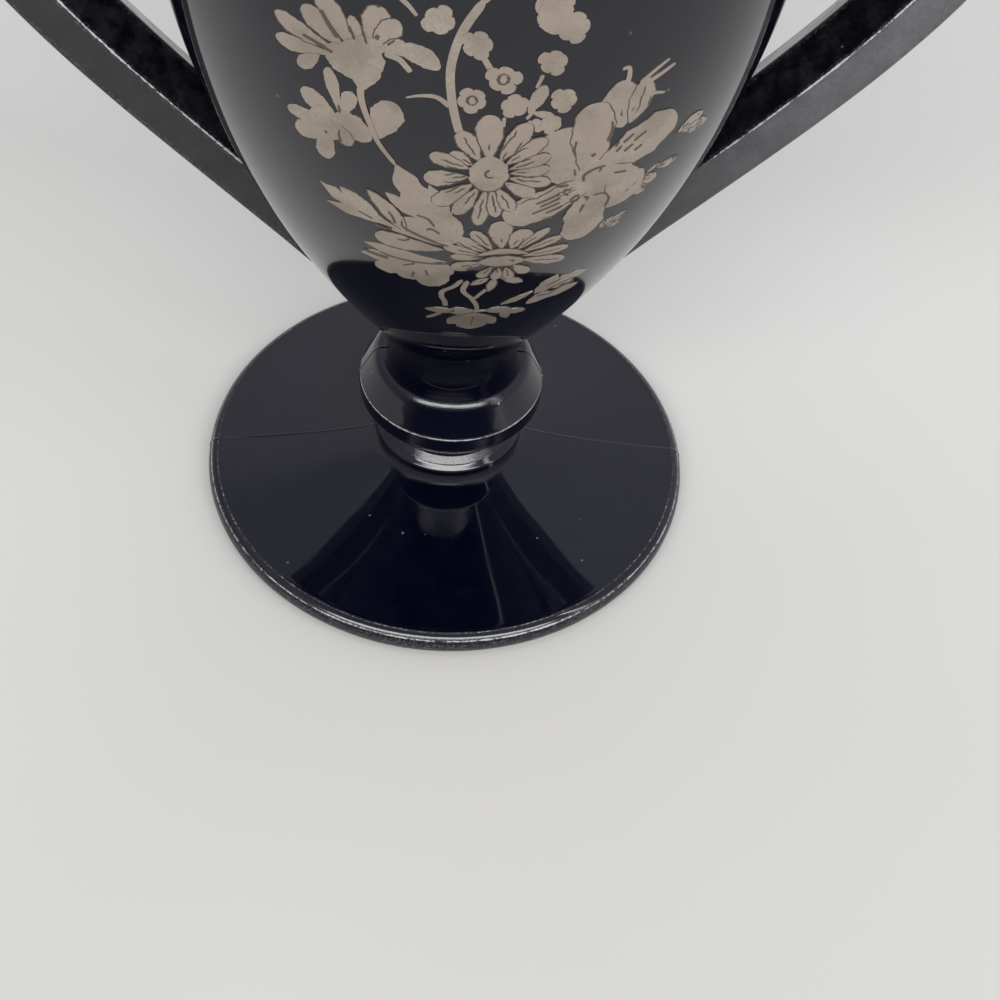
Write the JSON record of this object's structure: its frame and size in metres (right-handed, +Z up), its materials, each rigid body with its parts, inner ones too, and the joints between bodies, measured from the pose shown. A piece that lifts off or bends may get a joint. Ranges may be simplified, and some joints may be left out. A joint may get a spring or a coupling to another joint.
{
  "type": "trophy vase",
  "caption": "Footed trophy vase of black glass with a silver flower spray: a flared cup on a knopped stem and round foot, with tall loop handles.",
  "frame": {"origin": "centre of the standing ring under the foot, on the surface that the vase stands on", "axes": "+Z up the vase's axis to the mouth, +X to the right-hand handle, -Y to the front"},
  "size_m": [0.1832, 0.1088, 0.2032],
  "materials": {
    "foot_glass": "fire-polished black glass, worn along the edge",
    "stem_glass": "fire-polished black glass",
    "bowl_glass": "fire-polished black glass",
    "handle_glass": "black glass as pressed, slightly dull, bright on its worn edges",
    "silver_film": "thin silver film, matt from etching, warm with age, engraved with fine lines"
  },
  "bodies": {
    "root": {"foot": "foot_glass", "knop": "stem_glass", "neck": "stem_glass", "bowl": "bowl_glass", "handle_right": "handle_glass", "handle_left": "handle_glass", "silver_lilies": "silver_film", "silver_bunch": "silver_film"}
  },
  "joints": []
}
